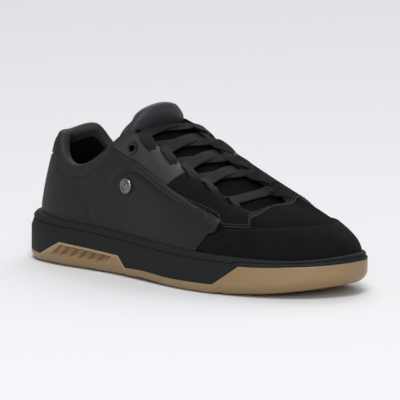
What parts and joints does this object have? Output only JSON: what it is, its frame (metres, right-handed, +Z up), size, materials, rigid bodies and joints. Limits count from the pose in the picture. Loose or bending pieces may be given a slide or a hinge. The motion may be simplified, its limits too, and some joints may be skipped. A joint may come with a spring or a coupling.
{
  "type": "low skate-style sneaker",
  "caption": "Low lace-up skate-style sneaker, right shoe: gum outsole under a black cupsole, hollow padded upper with leather and suede panels, tongue, lace and round metal stud.",
  "frame": {"origin": "middle of the sole's outline, on the ground plane under heel and ball", "axes": "+X from the heel to the toe, +Y to the medial side, +Z up"},
  "size_m": [0.3, 0.1082, 0.1249],
  "materials": {
    "gum": "satin gum rubber",
    "black_rubber": "matte black rubber",
    "leather": "satin black leather",
    "suede": "napped black suede",
    "textile": "black textile",
    "steel": "satin steel"
  },
  "bodies": {
    "root": {"outsole": "gum", "midsole": "black_rubber", "insole": "textile", "upper": "textile", "tongue": "textile", "quarter_lateral": "leather", "quarter_medial": "leather", "roll_lateral": "leather", "roll_medial": "leather", "eyestay_lateral": "leather", "eyestay_medial": "leather", "saddle_lateral": "suede", "saddle_medial": "suede", "mudguard": "suede", "heel_tab": "leather", "eyelet_lateral": "steel", "eyelet_medial": "steel", "lace": "textile", "lace_bar": "textile", "badge": "steel"}
  },
  "joints": []
}
